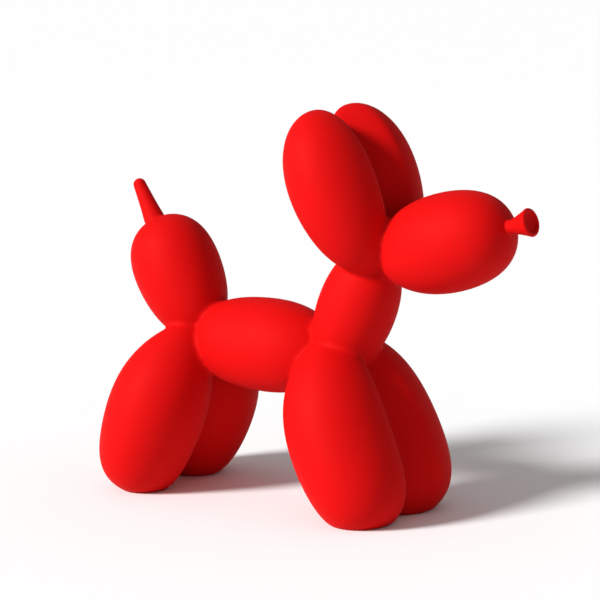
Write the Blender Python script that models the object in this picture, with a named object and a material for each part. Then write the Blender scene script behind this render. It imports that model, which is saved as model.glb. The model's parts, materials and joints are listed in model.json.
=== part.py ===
"""Balloon poodle: a small figure in the form of a twisted-balloon dog, cast in one piece.

Metres. +X runs towards the nose, +Y to the dog's left and +Z up. The figure stands on four flat
soles, and the origin lies on the floor below the middle of the figure's box. The chain of bubbles
follows the balloon it imitates: the trunk runs from the hip twist to the shoulder twist, and
every other bubble starts at a twist.
"""

import math

import bmesh
import bpy
from mathutils import Matrix, Vector

# The trunk lies between the two pairs of legs
TRUNK_LENGTH = 0.0730
TRUNK_WIDTH = 0.0432
TRUNK_SWELL_RATIO = 0.01
TRUNK_PLUMP_RATIO = 0.18
TRUNK_HEEL_RATIO = -0.17

# The neck rises from the front end of the trunk
NECK_LENGTH = 0.0588
NECK_WIDTH = 0.0360
NECK_SWELL_RATIO = -0.01
NECK_PLUMP_RATIO = 0.15
NECK_PITCH = math.radians(67.3)
NECK_START = Vector((0.0011, 0.0, -0.0044))

# The head points forward from the top of the neck
HEAD_LENGTH = 0.0696
HEAD_WIDTH = 0.0446
HEAD_SWELL_RATIO = 0.065
HEAD_PLUMP_RATIO = 0.09
HEAD_HEEL_RATIO = 0.10
HEAD_PITCH = math.radians(16.3)
HEAD_START = Vector((0.0015, 0.0, -0.0034))

# The two ears stand side by side on the top of the neck
EAR_LENGTH = 0.0765
EAR_WIDTH = 0.0409
EAR_SWELL_RATIO = 0.063
EAR_PLUMP_RATIO = 0.058
EAR_HEEL_RATIO = -0.047
EAR_PITCH = math.radians(113.7)
EAR_START = Vector((0.0033, 0.0094, -0.0081))
EAR_SPREAD = 0.0046
EAR_SWEEP = 0.0
EAR_BOW = 0.0001
EAR_PRESS_RATIO = 1.10
EAR_PINCH_RATIO = 0.73
EAR_GIRTH_RATIO = 1.18

# The tail bubble rises from the rear end of the trunk
TAIL_LENGTH = 0.0600
TAIL_WIDTH = 0.0408
TAIL_SWELL_RATIO = 0.10
TAIL_PLUMP_RATIO = 0.15
TAIL_PITCH = math.radians(118.0)
TAIL_START = Vector((0.0005, 0.0, 0.0002))

# Front legs, pressed together
FRONT_LEG_LENGTH = 0.0898
FRONT_LEG_WIDTH = 0.0486
FRONT_LEG_SWELL_RATIO = 0.016
FRONT_LEG_PLUMP_RATIO = 0.226
FRONT_LEG_HEEL_RATIO = 0.130
FRONT_LEG_PITCH = math.radians(-60.6)
FRONT_LEG_START = Vector((-0.0028, 0.0057, 0.0072))
FRONT_LEG_SPREAD = 0.0101
FRONT_LEG_SWEEP = -0.0055
FRONT_LEG_BOW = 0.0004
FRONT_LEG_PRESS_RATIO = 1.05
FRONT_LEG_PINCH_RATIO = 0.50
FRONT_LEG_GIRTH_RATIO = 1.18
FRONT_SOLE_TRIM = 0.0054

# Hind legs, leaning back
HIND_LEG_LENGTH = 0.0843
HIND_LEG_WIDTH = 0.0462
HIND_LEG_SWELL_RATIO = 0.013
HIND_LEG_PLUMP_RATIO = 0.065
HIND_LEG_HEEL_RATIO = 0.308
HIND_LEG_PITCH = math.radians(-111.0)
HIND_LEG_START = Vector((0.0002, 0.0110, 0.0073))
HIND_LEG_SPREAD = 0.0083
HIND_LEG_SWEEP = 0.0027
HIND_LEG_BOW = 0.0
HIND_LEG_PRESS_RATIO = 1.10
HIND_LEG_PINCH_RATIO = 0.29
HIND_LEG_GIRTH_RATIO = 1.16
HIND_SOLE_TRIM = 0.0026

# The tied nozzle of the balloon at the nose: a short flare with a shallow, dished mouth
NOZZLE_LENGTH = 0.0118
NOZZLE_ROOT_WIDTH = 0.0054
NOZZLE_LIP_WIDTH = 0.0128
NOZZLE_LIP_EDGE = 0.0010
NOZZLE_DISH_DEPTH = 0.0009
NOZZLE_BELL = 0.25
NOZZLE_PITCH = math.radians(17.3)
NOZZLE_RISE = 0.0004

# The slack end of the balloon on top of the tail bubble: a tapered finger
TIP_LENGTH = 0.0197
TIP_ROOT_WIDTH = 0.0091
TIP_END_WIDTH = 0.0059
TIP_FLARE = 0.0003
TIP_FLARE_POWER = 4
TIP_START = Vector((-0.0017, 0.0, 0.0))
TIP_PITCH = math.radians(118.7)

# How deep the nozzle and the finger are set into their bubbles
SET_DEPTH = 0.0040

# Each bubble's profile: its length and width, and the ratios swell, plump and heel
TRUNK = (TRUNK_LENGTH, TRUNK_WIDTH, TRUNK_SWELL_RATIO, TRUNK_PLUMP_RATIO, TRUNK_HEEL_RATIO)
NECK = (NECK_LENGTH, NECK_WIDTH, NECK_SWELL_RATIO, NECK_PLUMP_RATIO)
HEAD = (HEAD_LENGTH, HEAD_WIDTH, HEAD_SWELL_RATIO, HEAD_PLUMP_RATIO, HEAD_HEEL_RATIO)
TAIL = (TAIL_LENGTH, TAIL_WIDTH, TAIL_SWELL_RATIO, TAIL_PLUMP_RATIO)
EAR = (EAR_LENGTH, EAR_WIDTH, EAR_SWELL_RATIO, EAR_PLUMP_RATIO, EAR_HEEL_RATIO)
FRONT_LEG = (
    FRONT_LEG_LENGTH,
    FRONT_LEG_WIDTH,
    FRONT_LEG_SWELL_RATIO,
    FRONT_LEG_PLUMP_RATIO,
    FRONT_LEG_HEEL_RATIO,
)
HIND_LEG = (
    HIND_LEG_LENGTH,
    HIND_LEG_WIDTH,
    HIND_LEG_SWELL_RATIO,
    HIND_LEG_PLUMP_RATIO,
    HIND_LEG_HEEL_RATIO,
)

# How each pair stands beside its twin: spread, sweep and bow, and the ratios press, pinch and
# girth. Within about the first half of its length, which TWIST_POWER sets, a bubble reaches its
# full spread and sweep. A low PINCH_SOFTNESS gives the wedge flatter flanks.
TWIST_POWER = 3
PINCH_SOFTNESS = 0.12
EAR_STANCE = (
    EAR_SPREAD,
    EAR_SWEEP,
    EAR_BOW,
    EAR_PRESS_RATIO,
    EAR_PINCH_RATIO,
    EAR_GIRTH_RATIO,
)
FRONT_STANCE = (
    FRONT_LEG_SPREAD,
    FRONT_LEG_SWEEP,
    FRONT_LEG_BOW,
    FRONT_LEG_PRESS_RATIO,
    FRONT_LEG_PINCH_RATIO,
    FRONT_LEG_GIRTH_RATIO,
)
HIND_STANCE = (
    HIND_LEG_SPREAD,
    HIND_LEG_SWEEP,
    HIND_LEG_BOW,
    HIND_LEG_PRESS_RATIO,
    HIND_LEG_PINCH_RATIO,
    HIND_LEG_GIRTH_RATIO,
)

# Fineness of the faceted surface
SIDES = 26
RINGS = 16
SMALL_SIDES = 16
EDGE_STEPS = 4

# Points closer than this are one point
WELD = 1e-6

# Edges bent by more than this stay crisp in the shading
CREASE_ANGLE = math.radians(35)

PAINT_COLOUR = (0.65, 0.004, 0.004, 1.0)
PAINT_ROUGHNESS = 0.68


def clear_scene():
    """Remove whatever the scene holds."""
    for obj in list(bpy.data.objects):
        bpy.data.objects.remove(obj, do_unlink=True)


def egg_outline(length, width, swell, plump, heel=0.0):
    """Half outline of a bubble from its twist at x = 0 to its free end, both on the axis.

    swell moves the fattest place towards the free end, plump fills out both ends, and heel fills
    out the free end while it thins the twist end.
    """
    outline = []
    for ring in range(RINGS + 1):
        turn = math.pi * ring / RINGS
        place = -math.cos(turn)
        radius = math.sin(turn) * (1 + swell * place + plump * place**2 + heel * place**3)
        outline.append((place, radius))
    fattest = max(radius for _, radius in outline)
    return [
        (length * (1 + place) / 2, width / 2 * radius / fattest)
        for place, radius in outline
    ]


def nozzle_outline():
    """Half outline of the nozzle, from inside the head to the bottom of its dished mouth."""
    root = NOZZLE_ROOT_WIDTH / 2
    lip = NOZZLE_LIP_WIDTH / 2
    edge = NOZZLE_LIP_EDGE
    outline = [(-SET_DEPTH, 0.0), (-SET_DEPTH, root)]
    flare_end = NOZZLE_LENGTH - edge
    for step in range(EDGE_STEPS + 1):
        share = step / EDGE_STEPS
        radius = root + (lip - root) * ((1 - NOZZLE_BELL) * share + NOZZLE_BELL * share**2)
        outline.append((flare_end * share, radius))
    centre = (flare_end, lip - edge)
    for step in range(1, EDGE_STEPS + 1):
        turn = math.pi * step / EDGE_STEPS
        outline.append((centre[0] + edge * math.sin(turn), centre[1] + edge * math.cos(turn)))
    mouth = lip - 2 * edge
    for step in range(1, EDGE_STEPS + 1):
        turn = math.pi / 2 * step / EDGE_STEPS
        outline.append((flare_end - NOZZLE_DISH_DEPTH * math.sin(turn), mouth * math.cos(turn)))
    outline[-1] = (flare_end - NOZZLE_DISH_DEPTH, 0.0)
    return outline


def finger_outline():
    """Half outline of the tail's slack end, from inside the bubble to its rounded tip."""
    root = TIP_ROOT_WIDTH / 2
    end = TIP_END_WIDTH / 2
    outline = [(-SET_DEPTH, 0.0), (-SET_DEPTH, root + TIP_FLARE)]
    taper_end = TIP_LENGTH - end
    for step in range(EDGE_STEPS + 1):
        share = step / EDGE_STEPS
        flare = TIP_FLARE * (1 - share) ** TIP_FLARE_POWER
        outline.append((taper_end * share, root + (end - root) * share + flare))
    for step in range(1, EDGE_STEPS + 1):
        turn = math.pi / 2 * step / EDGE_STEPS
        outline.append((taper_end + end * math.sin(turn), end * math.cos(turn)))
    outline[-1] = (TIP_LENGTH, 0.0)
    return outline


def spun_body(name, outline, sides):
    """Closed body turned about the X axis from an outline whose ends lie on that axis."""
    body = bmesh.new()
    points = [body.verts.new((x, 0.0, radius)) for x, radius in outline]
    lines = [body.edges.new(pair) for pair in zip(points, points[1:])]
    bmesh.ops.spin(
        body,
        geom=points + lines,
        cent=(0, 0, 0),
        axis=(1, 0, 0),
        angle=2 * math.pi,
        steps=sides,
    )
    bmesh.ops.remove_doubles(body, verts=body.verts, dist=WELD)
    bmesh.ops.recalc_face_normals(body, faces=body.faces)
    mesh = bpy.data.meshes.new(name)
    body.to_mesh(mesh)
    body.free()
    return bpy.data.objects.new(name, mesh)


def bend_pair(obj, length, side, spread, sweep, bow, press, pinch, girth):
    """Shape a bubble that stands beside a twin.

    It spreads from its twin and sweeps towards its own top side just after the twist, and its
    axis bows. press scales the depth of the half that faces the twin and pinch narrows that half
    to a blunt wedge. girth scales the depth of the other half.
    """
    for vertex in obj.data.vertices:
        place = 2 * vertex.co.x / length - 1
        clear_of_twist = 1 - ((1 - place) / 2) ** TWIST_POWER
        if vertex.co.y * side < 0:
            across = vertex.co.y / math.hypot(vertex.co.y, vertex.co.z)
            vertex.co.z *= 1 - pinch * (math.hypot(across, PINCH_SOFTNESS) - PINCH_SOFTNESS)
            vertex.co.y *= press
        else:
            vertex.co.y *= girth
        vertex.co.y += side * spread * clear_of_twist
        vertex.co.z += sweep * clear_of_twist + bow * (1 - place**2)


def put(obj, start, pitch):
    """Bake a body into place, with its twist at start and its axis raised by pitch."""
    obj.data.transform(Matrix.Translation(start) @ Matrix.Rotation(-pitch, 4, "Y"))


def along(pitch):
    """Unit vector in the mirror plane, raised by pitch above +X."""
    return Vector((math.cos(pitch), 0.0, math.sin(pitch)))


def lowest(obj):
    """Height of a body's lowest vertex."""
    return min(vertex.co.z for vertex in obj.data.vertices)


def bubble(name, profile, start, pitch):
    """One bubble in the mirror plane."""
    obj = spun_body(name, egg_outline(*profile), SIDES)
    put(obj, start, pitch)
    return obj


def paired_bubble(name, side, profile, start, pitch, stance):
    """One bubble of a pair: an ear or a leg."""
    obj = spun_body(name, egg_outline(*profile), SIDES)
    bend_pair(obj, profile[0], side, *stance)
    put(obj, start, pitch)
    return obj


def stand(obj):
    """Trim a leg flat at the floor."""
    body = bmesh.new()
    body.from_mesh(obj.data)
    cut = bmesh.ops.bisect_plane(
        body,
        geom=body.verts[:] + body.edges[:] + body.faces[:],
        dist=WELD,
        plane_co=(0, 0, 0),
        plane_no=(0, 0, 1),
        clear_inner=True,
    )
    rim = [item for item in cut["geom_cut"] if isinstance(item, bmesh.types.BMEdge)]
    bmesh.ops.edgeloop_fill(body, edges=rim)
    bmesh.ops.recalc_face_normals(body, faces=body.faces)
    body.to_mesh(obj.data)
    body.free()


def twist_height(profile, start, pitch, stance, trim):
    """Height of the twist that a pair of legs carries, with its ends trimmed flat at the floor."""
    trial = paired_bubble("trial", 1, profile, start, pitch, stance)
    height = -lowest(trial) - trim
    bpy.data.objects.remove(trial, do_unlink=True)
    return height


def build_bodies():
    """All bodies that the casting fuses, trunk first."""
    hip_height = twist_height(
        HIND_LEG, HIND_LEG_START, HIND_LEG_PITCH, HIND_STANCE, HIND_SOLE_TRIM
    )
    shoulder_height = twist_height(
        FRONT_LEG, FRONT_LEG_START, FRONT_LEG_PITCH, FRONT_STANCE, FRONT_SOLE_TRIM
    )
    trunk_pitch = math.asin((shoulder_height - hip_height) / TRUNK_LENGTH)
    hip = Vector((0.0, 0.0, hip_height))
    shoulder = hip + TRUNK_LENGTH * along(trunk_pitch)
    crown = shoulder + NECK_START + NECK_LENGTH * along(NECK_PITCH)
    nose = crown + HEAD_START + HEAD_LENGTH * along(HEAD_PITCH)
    dock = hip + TAIL_START + TAIL_LENGTH * along(TAIL_PITCH)

    trunk = bubble("trunk", TRUNK, hip, trunk_pitch)
    neck = bubble("neck", NECK, shoulder + NECK_START, NECK_PITCH)
    head = bubble("head", HEAD, crown + HEAD_START, HEAD_PITCH)
    tail = bubble("tail", TAIL, hip + TAIL_START, TAIL_PITCH)
    nozzle = spun_body("nozzle", nozzle_outline(), SMALL_SIDES)
    put(nozzle, nose + NOZZLE_RISE * along(HEAD_PITCH + math.pi / 2), NOZZLE_PITCH)
    finger = spun_body("finger", finger_outline(), SMALL_SIDES)
    put(finger, dock + TIP_START, TIP_PITCH)

    bodies = [trunk, neck, head, tail, nozzle, finger]
    for side in (-1, 1):
        across = Vector((1, side, 1))
        front_start = shoulder + FRONT_LEG_START * across
        front_leg = paired_bubble(
            "front_leg", side, FRONT_LEG, front_start, FRONT_LEG_PITCH, FRONT_STANCE
        )
        hind_start = hip + HIND_LEG_START * across
        hind_leg = paired_bubble(
            "hind_leg", side, HIND_LEG, hind_start, HIND_LEG_PITCH, HIND_STANCE
        )
        ear = paired_bubble("ear", side, EAR, crown + EAR_START * across, EAR_PITCH, EAR_STANCE)
        stand(front_leg)
        stand(hind_leg)
        bodies += [front_leg, hind_leg, ear]
    return bodies


def fused(bodies):
    """One mesh of all the bodies, joined."""
    guides = bpy.data.collections.new("guides")
    bpy.context.scene.collection.children.link(guides)
    for body in bodies[1:]:
        guides.objects.link(body)
    whole = bodies[0]
    bpy.context.scene.collection.objects.link(whole)
    join = whole.modifiers.new("join", "BOOLEAN")
    join.operation = "UNION"
    join.solver = "EXACT"
    join.operand_type = "COLLECTION"
    join.collection = guides
    mesh = bpy.data.meshes.new_from_object(whole.evaluated_get(bpy.context.evaluated_depsgraph_get()))
    for body in bodies:
        bpy.data.objects.remove(body, do_unlink=True)
    bpy.data.collections.remove(guides)
    return mesh


def fill_voids(mesh):
    """Leave only the outer skin: where bubbles meet, the casting is solid."""
    body = bmesh.new()
    body.from_mesh(mesh)
    bmesh.ops.remove_doubles(body, verts=body.verts, dist=WELD)
    outer = {min(body.verts, key=lambda vertex: vertex.co.z)}
    front = list(outer)
    while front:
        beside = {edge.other_vert(vertex) for vertex in front for edge in vertex.link_edges}
        front = list(beside - outer)
        outer |= beside
    inner = [vertex for vertex in body.verts if vertex not in outer]
    bmesh.ops.delete(body, geom=inner, context="VERTS")
    body.to_mesh(mesh)
    body.free()


def centre_on_floor(mesh):
    """Move the mesh so that the origin lies below the middle of its box."""
    spans = [[vertex.co[axis] for vertex in mesh.vertices] for axis in (0, 1)]
    middle = [(min(span) + max(span)) / 2 for span in spans]
    mesh.transform(Matrix.Translation((-middle[0], -middle[1], 0.0)))


def matte_red():
    """Soft-touch matte red paint."""
    paint = bpy.data.materials.new("matte_red_paint")
    paint.use_nodes = True
    shader = paint.node_tree.nodes["Principled BSDF"]
    shader.inputs["Base Color"].default_value = PAINT_COLOUR
    shader.inputs["Roughness"].default_value = PAINT_ROUGHNESS
    shader.inputs["Metallic"].default_value = 0.0
    return paint


def main():
    """Build the figure."""
    clear_scene()
    mesh = fused(build_bodies())
    mesh.name = "balloon_poodle"
    fill_voids(mesh)
    centre_on_floor(mesh)
    mesh.materials.clear()
    mesh.materials.append(matte_red())
    mesh.shade_smooth()
    mesh.set_sharp_from_angle(angle=CREASE_ANGLE)
    figure = bpy.data.objects.new("balloon_poodle", mesh)
    bpy.context.scene.collection.objects.link(figure)


main()
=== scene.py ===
"""Balloon poodle: the painted casting with softened creases and eased soles, in a plain studio.

Metres. +X runs towards the nose, +Y to the dog's left and +Z up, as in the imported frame. Every
bubble is drawn out ring by ring along its axis, the bubbles are closed into one skin, and the
creases between them are softened as paint and casting soften them.
"""

import json
import logging
import math
from dataclasses import dataclass, field, replace
from enum import Enum

import bmesh
import bpy
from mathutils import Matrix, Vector

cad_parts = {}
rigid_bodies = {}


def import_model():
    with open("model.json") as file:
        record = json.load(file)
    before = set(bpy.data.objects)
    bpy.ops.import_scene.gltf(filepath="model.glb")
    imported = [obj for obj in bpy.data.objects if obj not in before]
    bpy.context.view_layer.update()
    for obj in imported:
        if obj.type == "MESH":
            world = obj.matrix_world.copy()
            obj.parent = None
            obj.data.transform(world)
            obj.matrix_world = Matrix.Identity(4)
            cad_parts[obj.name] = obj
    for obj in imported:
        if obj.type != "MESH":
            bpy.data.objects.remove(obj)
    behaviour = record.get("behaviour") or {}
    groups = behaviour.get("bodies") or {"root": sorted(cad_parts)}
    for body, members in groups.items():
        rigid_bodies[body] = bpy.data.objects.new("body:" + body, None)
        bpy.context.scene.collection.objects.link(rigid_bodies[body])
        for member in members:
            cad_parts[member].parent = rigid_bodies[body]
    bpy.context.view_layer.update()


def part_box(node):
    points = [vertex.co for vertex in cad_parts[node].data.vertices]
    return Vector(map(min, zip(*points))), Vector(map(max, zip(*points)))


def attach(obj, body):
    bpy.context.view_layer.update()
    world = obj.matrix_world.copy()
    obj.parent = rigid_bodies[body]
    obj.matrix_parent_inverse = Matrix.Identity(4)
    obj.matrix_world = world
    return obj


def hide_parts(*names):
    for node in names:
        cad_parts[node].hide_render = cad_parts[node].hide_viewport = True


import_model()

NODE = "balloon_poodle"
BODY = "root"

log = logging.getLogger("balloon_poodle")


class Side(Enum):
    """Where a bubble stands: in the mirror plane or on one side of it."""

    RIGHT = -1
    MIDDLE = 0
    LEFT = 1


def deselect_all() -> None:
    """Go to object mode with nothing selected."""
    if bpy.context.mode != "OBJECT":
        bpy.ops.object.mode_set(mode="OBJECT")
    bpy.ops.object.select_all(action="DESELECT")


def only(obj: bpy.types.Object) -> None:
    """Make one object the selected and active one.

    Args:
        obj: The object to work on next.
    """
    deselect_all()
    obj.select_set(True)
    bpy.context.view_layer.objects.active = obj


def along(pitch: float) -> Vector:
    """Unit vector in the mirror plane, raised above +X by a pitch in radians."""
    return Vector((math.cos(pitch), 0.0, math.sin(pitch)))


@dataclass(frozen=True)
class Ring:
    """One ring of a drawn-out body: its centre and its radius."""

    centre: Vector
    radius: float


def resize_points(
    body: bpy.types.Object, disc: Ring, numbers: list[int], scale: tuple[float, float, float]
) -> None:
    """Scale some points of a disc about its centre.

    Args:
        body: The disc, in edit mode.
        disc: The disc's ring.
        numbers: Which of its points move.
        scale: The scale along X, Y and Z.
    """
    shell = bmesh.from_edit_mesh(body.data)
    for face in shell.faces:
        face.select = False
    for vertex in shell.verts:
        vertex.select = vertex.index in numbers
    bmesh.update_edit_mesh(body.data)
    bpy.ops.transform.resize(value=scale, center_override=disc.centre)


@dataclass(frozen=True)
class Squeeze:
    """How a bubble's rings are shaped where it leans on its twin.

    press scales the depth of the half that faces the twin. pinch narrows that half towards the
    twin, to a wedge whose flanks are flatter the lower the softness. girth scales the depth of
    the other half.
    """

    press: float = 1.0
    pinch: float = 0.0
    girth: float = 1.0
    softness: float = 0.12

    def shape(self, body: bpy.types.Object, disc: Ring, side: Side) -> None:
        """Shape a disc before it is drawn out.

        Args:
            body: The disc, in edit mode.
            disc: The disc's ring.
            side: The side it stands on.
        """
        shell = bmesh.from_edit_mesh(body.data)
        depths = [(vertex.co.y - disc.centre.y) * side.value for vertex in shell.verts]
        facing = [number for number, depth in enumerate(depths) if depth < 0.0]
        away = [number for number in range(len(depths)) if number not in facing]
        for number in facing:
            across = math.hypot(depths[number] / disc.radius, self.softness) - self.softness
            resize_points(body, disc, [number], (1.0, 1.0, 1 - self.pinch * across))
        resize_points(body, disc, facing, (1.0, self.press, 1.0))
        resize_points(body, disc, away, (1.0, self.girth, 1.0))


def settle_order(body: bpy.types.Object) -> None:
    """Put a body's faces in a fixed order.

    Extruding leaves them in an order that changes from run to run, and the last digits of a cut
    or a join through them would change with it.

    Args:
        body: The body, in object mode.
    """
    mesh = body.data
    points = [vertex.co.copy() for vertex in mesh.vertices]
    faces = []
    for face in mesh.polygons:
        corners = list(face.vertices)
        first = corners.index(min(corners))
        faces.append(corners[first:] + corners[:first])
    mesh.clear_geometry()
    mesh.from_pydata(points, [], sorted(faces))


def draw_out(
    name: str,
    rings: list[Ring],
    sides: int,
    side: Side = Side.MIDDLE,
    squeeze: Squeeze = Squeeze(),
) -> bpy.types.Object:
    """Model a closed body along +X by extruding a disc from ring to ring.

    Args:
        name: Name of the new object.
        rings: The rings in order; the first and the last lie close to the body's two ends.
        sides: How many points a ring has.
        side: The side the body stands on.
        squeeze: How the rings are shaped towards the body's twin.

    Returns:
        The new object.
    """
    deselect_all()
    first = rings[0]
    bpy.ops.mesh.primitive_circle_add(
        vertices=sides,
        radius=first.radius,
        fill_type="NGON",
        location=first.centre,
        rotation=(0.0, math.pi / 2, 0.0),
    )
    body = bpy.context.active_object
    body.name = name
    bpy.ops.object.transform_apply(location=True, rotation=True, scale=True)
    bpy.ops.object.mode_set(mode="EDIT")
    if squeeze != Squeeze():
        squeeze.shape(body, first, side)
    bpy.ops.mesh.select_all(action="SELECT")
    before = first
    for ring in rings[1:]:
        step = ring.centre - before.centre
        bpy.ops.mesh.extrude_region_move(TRANSFORM_OT_translate={"value": step})
        ratio = ring.radius / before.radius
        bpy.ops.transform.resize(value=(ratio, ratio, ratio), center_override=ring.centre)
        before = ring
    bpy.ops.mesh.select_all(action="SELECT")
    bpy.ops.mesh.normals_make_consistent(inside=False)
    bpy.ops.object.mode_set(mode="OBJECT")
    settle_order(body)
    return body


def draw_outline(name: str, outline: list[tuple[float, float]], sides: int) -> bpy.types.Object:
    """Model a closed round body along +X from its half outline.

    Args:
        name: Name of the new object.
        outline: Places along +X, with the radius at each.
        sides: How many points a ring has.

    Returns:
        The new object.
    """
    rings = [Ring(Vector((place, 0.0, 0.0)), radius) for place, radius in outline]
    return draw_out(name, rings, sides)


def set_in_place(body: bpy.types.Object, pitch: float, start: Vector) -> bpy.types.Object:
    """Raise a body that was modelled along +X, and move it to its place.

    Args:
        body: The body, which starts at the origin.
        pitch: How far its axis is raised above +X, in radians.
        start: Where it starts.

    Returns:
        The same body.
    """
    body.rotation_euler = (0.0, -pitch, 0.0)
    body.location = start
    only(body)
    bpy.ops.object.transform_apply(location=True, rotation=True, scale=True)
    return body


@dataclass(frozen=True)
class Profile:
    """Half outline of a bubble: a round-ended egg.

    swell, plump and heel make it fuller with the first, second and third power of the place
    along it, which runs from -1, the twist, to 1, the free end.
    """

    length: float
    width: float
    swell: float
    plump: float
    heel: float = 0.0
    samples: int = 200

    def radius(self, place: float) -> float:
        """Radius at a place from -1 to 1."""
        return self.width / 2 * self.shape(place) / self.fattest()

    def shape(self, place: float) -> float:
        """Radius before it is brought to the bubble's width."""
        fullness = 1 + self.swell * place + self.plump * place**2 + self.heel * place**3
        return math.sqrt(max(0.0, 1 - place**2)) * fullness

    def fattest(self) -> float:
        """The largest value of shape along the bubble."""
        return max(self.shape(2 * step / self.samples - 1) for step in range(self.samples + 1))


@dataclass(frozen=True)
class Stance:
    """How a bubble's axis runs beside its twin's.

    spread carries the axis away from the twin, and sweep carries it across itself in the mirror
    plane. Both grow from nothing at the twist, sooner the higher twist_power is. bow carries only
    the middle, the same way as sweep.
    """

    spread: float = 0.0
    sweep: float = 0.0
    bow: float = 0.0
    squeeze: Squeeze = Squeeze()
    twist_power: int = 3

    def offset(self, place: float, side: Side) -> Vector:
        """How far the axis lies off the straight line.

        Args:
            place: Place along the bubble, from -1 to 1.
            side: The side it stands on.

        Returns:
            The offset, for a bubble along +X.
        """
        clear_of_twist = 1 - ((1 - place) / 2) ** self.twist_power
        lift = self.sweep * clear_of_twist + self.bow * (1 - place**2)
        return Vector((0.0, side.value * self.spread * clear_of_twist, lift))


@dataclass(frozen=True)
class Bubble:
    """One bubble of the balloon.

    pitch is its axis's angle above +X, and start is where it starts from its twist, given for
    the left side.
    """

    name: str
    profile: Profile
    pitch: float
    start: Vector
    stance: Stance = Stance()
    rings: int = 60
    sides: int = 72

    def build(self, twist: Vector, side: Side = Side.MIDDLE) -> bpy.types.Object:
        """Model the bubble with its twist end near a twist of the balloon.

        Args:
            twist: The balloon's twist that the bubble starts from.
            side: The side it stands on.

        Returns:
            The bubble as a closed shell.
        """
        rings = [self.ring(number, side) for number in range(1, self.rings)]
        name = self.name if side is Side.MIDDLE else f"{self.name}_{side.name.lower()}"
        body = draw_out(name, rings, self.sides, side, self.stance.squeeze)
        to_side = Vector((1.0, side.value, 1.0))
        return set_in_place(body, self.pitch, twist + self.start * to_side)

    def ring(self, number: int, side: Side) -> Ring:
        """One ring of the bubble along +X; they lie closer together towards its ends.

        Args:
            number: The ring's number, counted from the twist.
            side: The side the bubble stands on.

        Returns:
            The ring.
        """
        place = -math.cos(math.pi * number / self.rings)
        centre = Vector((self.profile.length * (1 + place) / 2, 0.0, 0.0))
        return Ring(centre + self.stance.offset(place, side), self.profile.radius(place))

    def free_end(self, twist: Vector) -> Vector:
        """Where the bubble ends when it starts at a twist."""
        return twist + self.start + self.profile.length * along(self.pitch)

    def lowest(self) -> float:
        """Find how far the bubble reaches below its twist.

        Returns:
            Height of its lowest point above the twist, a negative number.
        """
        body = self.build(Vector((0.0, 0.0, 0.0)), Side.LEFT)
        height = min(vertex.co.z for vertex in body.data.vertices)
        bpy.data.objects.remove(body, do_unlink=True)
        return height


@dataclass(frozen=True)
class Nozzle:
    """The tied nozzle at the nose: a short flare with a rolled lip and a dished mouth.

    bell is how much of the flare comes late, towards the lip, and rise sets the nozzle off the
    head's axis. cove is the radius added where it leaves the head, sunk by cove_sink.
    """

    length: float = 0.0118
    root_width: float = 0.0054
    lip_width: float = 0.0128
    lip_edge: float = 0.0010
    dish_depth: float = 0.0009
    bell: float = 0.25
    pitch: float = math.radians(17.3)
    rise: float = 0.0004
    set_depth: float = 0.0040
    cove: float = 0.0012
    cove_sink: float = 0.0005
    sides: int = 64
    steps: int = 12

    def outline(self) -> list[tuple[float, float]]:
        """Draw the half outline from inside the head to the bottom of the mouth.

        Returns:
            Places along the nozzle, with the radius at each.
        """
        root = self.root_width / 2
        lip = self.lip_width / 2
        edge = self.lip_edge
        flare_end = self.length - edge
        cove_length = 2 * self.cove
        points = [(-self.set_depth, root + self.cove)]
        for step in range(self.steps + 1):
            share = step / self.steps
            place = -self.cove_sink + (flare_end + self.cove_sink) * share
            flare = max(0.0, place) / flare_end
            radius = root + (lip - root) * ((1 - self.bell) * flare + self.bell * flare**2)
            into_cove = max(0.0, 1 - (place + self.cove_sink) / cove_length)
            points.append((place, radius + self.cove * into_cove**2))
        for step in range(1, self.steps + 1):
            turn = math.pi * step / self.steps
            points.append((flare_end + edge * math.sin(turn), lip - edge + edge * math.cos(turn)))
        mouth = lip - 2 * edge
        for step in range(1, self.steps):
            turn = math.pi / 2 * step / self.steps
            points.append((flare_end - self.dish_depth * math.sin(turn), mouth * math.cos(turn)))
        return points

    def build(self, nose: Vector, head_pitch: float) -> bpy.types.Object:
        """Model the nozzle at the free end of the head.

        Args:
            nose: The free end of the head.
            head_pitch: How far the head's axis is raised above +X, in radians.

        Returns:
            The nozzle as a closed shell.
        """
        body = draw_outline("nozzle", self.outline(), self.sides)
        off_axis = self.rise * along(head_pitch + math.pi / 2)
        return set_in_place(body, self.pitch, nose + off_axis)


@dataclass(frozen=True)
class Finger:
    """The slack end of the balloon on top of the tail: a tapered, round-tipped finger.

    flare is the radius added at its root, which fades with flare_power.
    """

    length: float = 0.0197
    root_width: float = 0.0091
    end_width: float = 0.0059
    flare: float = 0.0003
    flare_power: int = 4
    start: Vector = field(default_factory=lambda: Vector((-0.0017, 0.0, 0.0)))
    pitch: float = math.radians(118.7)
    set_depth: float = 0.0040
    sides: int = 56
    steps: int = 16

    def outline(self) -> list[tuple[float, float]]:
        """Draw the half outline from inside the tail to the rounded tip.

        Returns:
            Places along the finger, with the radius at each.
        """
        root = self.root_width / 2
        end = self.end_width / 2
        taper_end = self.length - end
        points = [(-self.set_depth, root + self.flare)]
        for step in range(self.steps + 1):
            share = step / self.steps
            flare = self.flare * (1 - share) ** self.flare_power
            points.append((taper_end * share, root + (end - root) * share + flare))
        for step in range(1, self.steps):
            turn = math.pi / 2 * step / self.steps
            points.append((taper_end + end * math.sin(turn), end * math.cos(turn)))
        return points

    def build(self, dock: Vector) -> bpy.types.Object:
        """Model the finger on the free end of the tail.

        Args:
            dock: The free end of the tail.

        Returns:
            The finger as a closed shell.
        """
        body = draw_outline("finger", self.outline(), self.sides)
        return set_in_place(body, self.pitch, dock + self.start)


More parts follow.
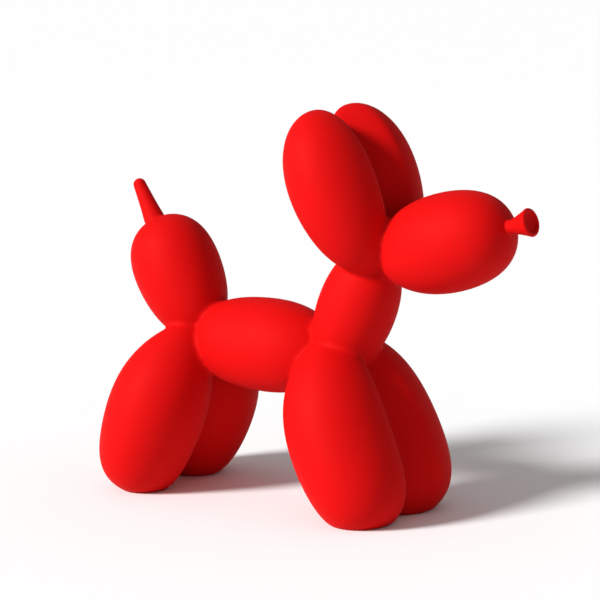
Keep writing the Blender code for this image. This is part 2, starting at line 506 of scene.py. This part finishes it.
@dataclass(frozen=True)
class MatteRedPaint:
    """Soft-touch red paint: matte, with faint clouds of tone and a very fine sprayed grain."""

    colour: tuple[float, float, float] = (0.561, 0.0028, 0.0029)
    deep_colour: tuple[float, float, float] = (0.524, 0.0021, 0.0022)
    roughness: float = 0.66
    roughness_spread: float = 0.05
    specular_level: float = 0.05
    sheen: float = 0.004
    sheen_roughness: float = 0.45
    cloud_scale: float = 38.0
    cloud_detail: float = 3.0
    grain_scale: float = 2600.0
    grain_detail: float = 2.0
    grain_strength: float = 0.5
    grain_height: float = 0.00003

    def material(self) -> bpy.types.Material:
        """Build the paint's material.

        Returns:
            The new material.
        """
        paint = bpy.data.materials.new("matte_red_paint_sprayed")
        paint.use_nodes = True
        shader = paint.node_tree.nodes["Principled BSDF"]
        shader.inputs["Specular IOR Level"].default_value = self.specular_level
        shader.inputs["Sheen Weight"].default_value = self.sheen
        shader.inputs["Sheen Roughness"].default_value = self.sheen_roughness
        place = paint.node_tree.nodes.new("ShaderNodeTexCoord")
        clouds = self.noise(paint, place, self.cloud_scale, self.cloud_detail)
        grain = self.noise(paint, place, self.grain_scale, self.grain_detail)
        self.vary_tone(paint, clouds)
        self.vary_roughness(paint, clouds)
        self.raise_grain(paint, grain)
        return paint

    def noise(
        self, paint: bpy.types.Material, place: bpy.types.Node, scale: float, detail: float
    ) -> bpy.types.NodeSocket:
        """Add a noise pattern to the paint.

        Args:
            paint: The material.
            place: The node that gives the object coordinates.
            scale: How fine the pattern is.
            detail: How many finer layers it has.

        Returns:
            The pattern's socket, from 0 to 1.
        """
        pattern = paint.node_tree.nodes.new("ShaderNodeTexNoise")
        pattern.inputs["Scale"].default_value = scale
        pattern.inputs["Detail"].default_value = detail
        paint.node_tree.links.new(place.outputs["Object"], pattern.inputs["Vector"])
        return pattern.outputs["Fac"]

    def vary_tone(self, paint: bpy.types.Material, clouds: bpy.types.NodeSocket) -> None:
        """Let the colour wander between its two tones.

        Args:
            paint: The material.
            clouds: The pattern to follow.
        """
        nodes = paint.node_tree.nodes
        links = paint.node_tree.links
        blend = nodes.new("ShaderNodeMix")
        blend.data_type = "RGBA"
        blend.inputs["A"].default_value = (*self.deep_colour, 1.0)
        blend.inputs["B"].default_value = (*self.colour, 1.0)
        links.new(clouds, blend.inputs["Factor"])
        links.new(blend.outputs["Result"], nodes["Principled BSDF"].inputs["Base Color"])

    def vary_roughness(self, paint: bpy.types.Material, clouds: bpy.types.NodeSocket) -> None:
        """Let the roughness wander about its mean.

        Args:
            paint: The material.
            clouds: The pattern to follow.
        """
        nodes = paint.node_tree.nodes
        links = paint.node_tree.links
        spread = nodes.new("ShaderNodeMapRange")
        spread.inputs["To Min"].default_value = self.roughness - self.roughness_spread
        spread.inputs["To Max"].default_value = self.roughness + self.roughness_spread
        links.new(clouds, spread.inputs["Value"])
        links.new(spread.outputs["Result"], nodes["Principled BSDF"].inputs["Roughness"])

    def raise_grain(self, paint: bpy.types.Material, grain: bpy.types.NodeSocket) -> None:
        """Give the surface its sprayed grain.

        Args:
            paint: The material.
            grain: The pattern to raise.
        """
        nodes = paint.node_tree.nodes
        links = paint.node_tree.links
        bump = nodes.new("ShaderNodeBump")
        bump.inputs["Strength"].default_value = self.grain_strength
        bump.inputs["Distance"].default_value = self.grain_height
        links.new(grain, bump.inputs["Height"])
        links.new(bump.outputs["Normal"], nodes["Principled BSDF"].inputs["Normal"])


@dataclass(frozen=True)
class Casting:
    """The whole figure, cast in one piece.

    The sole trims are what is cut off the legs' round ends. skin_step is the size of the skin's
    faces. Edges sharper than crease_angle are creases; the crease sizes say how widely and how
    strongly the skin is rounded there. What lies within sole_band of a skin step above the floor
    belongs to a sole.
    """

    trunk: Bubble = Bubble(
        "trunk",
        Profile(length=0.0730, width=0.0432, swell=0.01, plump=0.18, heel=-0.17),
        pitch=0.0,
        start=Vector((0.0, 0.0, 0.0)),
    )
    neck: Bubble = Bubble(
        "neck",
        Profile(length=0.0588, width=0.0360, swell=-0.01, plump=0.15),
        pitch=math.radians(67.3),
        start=Vector((0.0011, 0.0, -0.0044)),
    )
    head: Bubble = Bubble(
        "head",
        Profile(length=0.0696, width=0.0446, swell=0.065, plump=0.09, heel=0.10),
        pitch=math.radians(16.3),
        start=Vector((0.0015, 0.0, -0.0034)),
    )
    tail: Bubble = Bubble(
        "tail",
        Profile(length=0.0600, width=0.0408, swell=0.10, plump=0.15),
        pitch=math.radians(118.0),
        start=Vector((0.0005, 0.0, 0.0002)),
    )
    ear: Bubble = Bubble(
        "ear",
        Profile(length=0.0765, width=0.0409, swell=0.063, plump=0.058, heel=-0.047),
        pitch=math.radians(113.7),
        start=Vector((0.0033, 0.0094, -0.0081)),
        stance=Stance(
            spread=0.0046,
            bow=0.0001,
            squeeze=Squeeze(press=1.10, pinch=0.73, girth=1.18),
        ),
    )
    front_leg: Bubble = Bubble(
        "front_leg",
        Profile(length=0.0898, width=0.0486, swell=0.016, plump=0.226, heel=0.130),
        pitch=math.radians(-60.6),
        start=Vector((-0.0028, 0.0057, 0.0072)),
        stance=Stance(
            spread=0.0101,
            sweep=-0.0055,
            bow=0.0004,
            squeeze=Squeeze(press=1.05, pinch=0.50, girth=1.18),
        ),
    )
    hind_leg: Bubble = Bubble(
        "hind_leg",
        Profile(length=0.0843, width=0.0462, swell=0.013, plump=0.065, heel=0.308),
        pitch=math.radians(-111.0),
        start=Vector((0.0002, 0.0110, 0.0073)),
        stance=Stance(
            spread=0.0083,
            sweep=0.0027,
            squeeze=Squeeze(press=1.10, pinch=0.29, girth=1.16),
        ),
    )
    nozzle: Nozzle = Nozzle()
    finger: Finger = Finger()
    paint: MatteRedPaint = MatteRedPaint()
    front_sole_trim: float = 0.0054
    hind_sole_trim: float = 0.0026
    skin_step: float = 0.00113
    polish_rounds: int = 3
    crease_angle: float = math.radians(14)
    crease_rounds: int = 4
    crease_blur: float = 0.5
    crease_blur_rounds: int = 4
    crease_growth: float = 0.4
    sole_band: float = 0.125

    def build(self) -> bpy.types.Object:
        """Model the figure and dress it.

        Returns:
            The finished piece.
        """
        bubbles, nose, dock = self.place_bubbles()
        piece = self.close_skin(bubbles)
        self.soften_creases(piece)
        self.flatten_soles(piece)
        self.add_ends(piece, nose, dock)
        self.centre(piece)
        self.dress(piece)
        return piece

    def place_bubbles(self) -> tuple[list[bpy.types.Object], Vector, Vector]:
        """Chain the bubbles from twist to twist, standing on the floor.

        The trunk's pitch follows from the heights of its two ends.

        Returns:
            The bubbles, the free end of the head and the free end of the tail.
        """
        hip = Vector((0.0, 0.0, -self.hind_leg.lowest() - self.hind_sole_trim))
        shoulder_height = -self.front_leg.lowest() - self.front_sole_trim
        trunk_length = self.trunk.profile.length
        trunk_pitch = math.asin((shoulder_height - hip.z) / trunk_length)
        shoulder = hip + trunk_length * along(trunk_pitch)
        crown = self.neck.free_end(shoulder)
        bodies = [
            replace(self.trunk, pitch=trunk_pitch).build(hip),
            self.neck.build(shoulder),
            self.head.build(crown),
            self.tail.build(hip),
        ]
        for side in (Side.RIGHT, Side.LEFT):
            bodies.append(self.ear.build(crown, side))
            bodies.append(self.stand(self.front_leg.build(shoulder, side)))
            bodies.append(self.stand(self.hind_leg.build(hip, side)))
        return bodies, self.head.free_end(crown), self.tail.free_end(hip)

    def stand(self, leg: bpy.types.Object) -> bpy.types.Object:
        """Trim a leg flat at the floor.

        Args:
            leg: The leg.

        Returns:
            The same leg, with its sole.
        """
        only(leg)
        bpy.ops.object.mode_set(mode="EDIT")
        bpy.ops.mesh.select_all(action="SELECT")
        bpy.ops.mesh.bisect(
            plane_co=(0.0, 0.0, 0.0), plane_no=(0.0, 0.0, 1.0), use_fill=True, clear_inner=True
        )
        bpy.ops.object.mode_set(mode="OBJECT")
        return leg

    def close_skin(self, bubbles: list[bpy.types.Object]) -> bpy.types.Object:
        """Close the overlapping bubbles into one skin.

        Args:
            bubbles: The bubbles' shells.

        Returns:
            One closed mesh.
        """
        deselect_all()
        for bubble in bubbles:
            bubble.select_set(True)
        bpy.context.view_layer.objects.active = bubbles[0]
        bpy.ops.object.join()
        piece = bpy.context.active_object
        piece.name = "casting"
        skin = piece.modifiers.new("skin", "REMESH")
        skin.mode = "VOXEL"
        skin.voxel_size = self.skin_step
        bpy.ops.object.modifier_apply(modifier=skin.name)
        self.keep_outer_skin(piece)
        return piece

    def keep_outer_skin(self, piece: bpy.types.Object) -> None:
        """Delete the shells inside the outer skin: where bubbles meet, the casting is solid.

        Args:
            piece: The skin, with any shells inside it.
        """
        only(piece)
        heights = [vertex.co.z for vertex in piece.data.vertices]
        lowest = heights.index(min(heights))
        bpy.ops.object.mode_set(mode="EDIT")
        bpy.ops.mesh.select_mode(type="VERT")
        bpy.ops.mesh.select_all(action="DESELECT")
        bpy.ops.object.mode_set(mode="OBJECT")
        piece.data.vertices[lowest].select = True
        bpy.ops.object.mode_set(mode="EDIT")
        bpy.ops.mesh.select_linked()
        bpy.ops.mesh.select_all(action="INVERT")
        bpy.ops.mesh.delete(type="VERT")
        bpy.ops.object.mode_set(mode="OBJECT")

    def soften_creases(self, piece: bpy.types.Object) -> None:
        """Smooth the skin, and round the creases between the bubbles and the rims of the soles.

        Args:
            piece: The closed skin.
        """
        only(piece)
        polish = piece.modifiers.new("polish", "SMOOTH")
        polish.iterations = self.polish_rounds
        bpy.ops.object.modifier_apply(modifier=polish.name)
        self.mark_creases(piece)
        soften = piece.modifiers.new("soften", "SMOOTH")
        soften.vertex_group = "creases"
        soften.iterations = self.crease_rounds
        bpy.ops.object.modifier_apply(modifier=soften.name)

    def mark_creases(self, piece: bpy.types.Object) -> None:
        """Put the creases in a vertex group that fades out around them.

        Args:
            piece: The smoothed skin, selected and active.
        """
        bpy.ops.object.mode_set(mode="EDIT")
        bpy.ops.mesh.select_mode(type="EDGE")
        bpy.ops.mesh.select_all(action="DESELECT")
        bpy.ops.mesh.edges_select_sharp(sharpness=self.crease_angle)
        bpy.ops.mesh.select_mode(type="VERT")
        bpy.ops.mesh.select_more()
        piece.vertex_groups.new(name="creases")
        bpy.ops.object.vertex_group_assign()
        bpy.ops.mesh.select_all(action="SELECT")
        bpy.ops.object.vertex_group_smooth(
            factor=self.crease_blur, repeat=self.crease_blur_rounds, expand=self.crease_growth
        )
        bpy.ops.object.mode_set(mode="OBJECT")

    def flatten_soles(self, piece: bpy.types.Object) -> None:
        """Bring the soles exactly to the floor.

        Args:
            piece: The softened skin.
        """
        reach = self.sole_band * self.skin_step
        for vertex in piece.data.vertices:
            if vertex.co.z < reach:
                vertex.co.z = 0.0

    def add_ends(self, piece: bpy.types.Object, nose: Vector, dock: Vector) -> None:
        """Join the nozzle and the finger to the skin.

        Args:
            piece: The skin.
            nose: The free end of the head.
            dock: The free end of the tail.
        """
        for end in (self.nozzle.build(nose, self.head.pitch), self.finger.build(dock)):
            only(piece)
            join = piece.modifiers.new("join", "BOOLEAN")
            join.operation = "UNION"
            join.solver = "EXACT"
            join.object = end
            bpy.ops.object.modifier_apply(modifier=join.name)
            bpy.data.objects.remove(end, do_unlink=True)

    def centre(self, piece: bpy.types.Object) -> None:
        """Set the figure in the middle of the CAD node's length.

        Args:
            piece: The whole figure, with its hip above the origin.
        """
        lowest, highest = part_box(NODE)
        across = [vertex.co.x for vertex in piece.data.vertices]
        middle = (min(across) + max(across)) / 2
        only(piece)
        piece.location.x = (lowest[0] + highest[0]) / 2 - middle
        bpy.ops.object.transform_apply(location=True, rotation=True, scale=True)

    def dress(self, piece: bpy.types.Object) -> None:
        """Paint the figure, shade it smooth, hang it on its body and hide the CAD node it
        replaces.

        Args:
            piece: The whole figure, in its place.
        """
        piece.data.materials.clear()
        piece.data.materials.append(self.paint.material())
        only(piece)
        bpy.ops.object.shade_smooth()
        piece.vertex_groups.clear()
        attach(piece, BODY)
        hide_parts(NODE)


@dataclass(frozen=True)
class Studio:
    """A plain pale floor, a soft key light, an even fill light and the camera.

    An azimuth is a turn about +Z, 0 on the figure's right side and growing towards its nose, and
    a height is an angle above the floor.
    """

    floor_size: float = 40.0
    floor_colour: tuple[float, float, float] = (0.92, 0.92, 0.92)
    floor_roughness: float = 0.9
    key_strength: float = 4.8
    key_softness: float = math.radians(15)
    key_azimuth: float = math.radians(-27)
    key_height: float = math.radians(29.5)
    fill_colour: tuple[float, float, float] = (1.0, 1.0, 1.0)
    fill_strength: float = 0.35
    camera_azimuth: float = math.radians(35)
    camera_height: float = math.radians(10.48)
    camera_distance: float = 1.5625
    camera_aim: Vector = field(default_factory=lambda: Vector((-0.0147, 0.0, 0.094)))
    camera_reach: float = 100.0
    lens: float = 206.25
    sensor: float = 36.0

    def build(self) -> None:
        """Lay the floor, set the lights and the camera, and show colours as they are."""
        self.lay_floor()
        self.hang_key()
        self.fill()
        self.aim_camera()
        bpy.context.scene.view_settings.view_transform = "Standard"

    def lay_floor(self) -> None:
        """Lay a wide pale floor."""
        deselect_all()
        bpy.ops.mesh.primitive_plane_add(size=self.floor_size)
        floor = bpy.context.active_object
        floor.name = "floor"
        finish = bpy.data.materials.new("pale_floor")
        finish.use_nodes = True
        shader = finish.node_tree.nodes["Principled BSDF"]
        shader.inputs["Base Color"].default_value = (*self.floor_colour, 1.0)
        shader.inputs["Roughness"].default_value = self.floor_roughness
        floor.data.materials.append(finish)

    def hang_key(self) -> None:
        """Hang the key light, well to the left of the camera and above it."""
        bpy.ops.object.light_add(type="SUN")
        key = bpy.context.active_object
        key.name = "key"
        key.data.energy = self.key_strength
        key.data.angle = self.key_softness
        towards = self.direction(self.key_azimuth, self.key_height)
        key.rotation_euler = towards.to_track_quat("Z", "Y").to_euler()

    def fill(self) -> None:
        """Fill the shadows from all around."""
        world = bpy.data.worlds.new("studio_world")
        bpy.context.scene.world = world
        world.use_nodes = True
        background = world.node_tree.nodes["Background"]
        background.inputs["Color"].default_value = (*self.fill_colour, 1.0)
        background.inputs["Strength"].default_value = self.fill_strength

    def aim_camera(self) -> None:
        """Put the camera at the photograph's angle."""
        back = self.direction(self.camera_azimuth, self.camera_height)
        bpy.ops.object.camera_add(location=self.camera_aim + self.camera_distance * back)
        camera = bpy.context.active_object
        camera.name = "camera"
        camera.rotation_euler = (-back).to_track_quat("-Z", "Y").to_euler()
        camera.data.sensor_width = self.sensor
        camera.data.lens = self.lens
        camera.data.clip_end = self.camera_reach
        bpy.context.scene.camera = camera

    def direction(self, azimuth: float, height: float) -> Vector:
        """Unit vector from the figure towards an azimuth and a height, both in radians."""
        flat = math.cos(height)
        return Vector((math.sin(azimuth) * flat, -math.cos(azimuth) * flat, math.sin(height)))


def main() -> None:
    """Build the figure and the studio."""
    logging.basicConfig(level=logging.INFO, format="%(name)s: %(message)s")
    piece = Casting().build()
    piece.data.calc_loop_triangles()
    log.info("%s: %d triangles", piece.name, len(piece.data.loop_triangles))
    Studio().build()


if __name__ == "__main__":
    main()
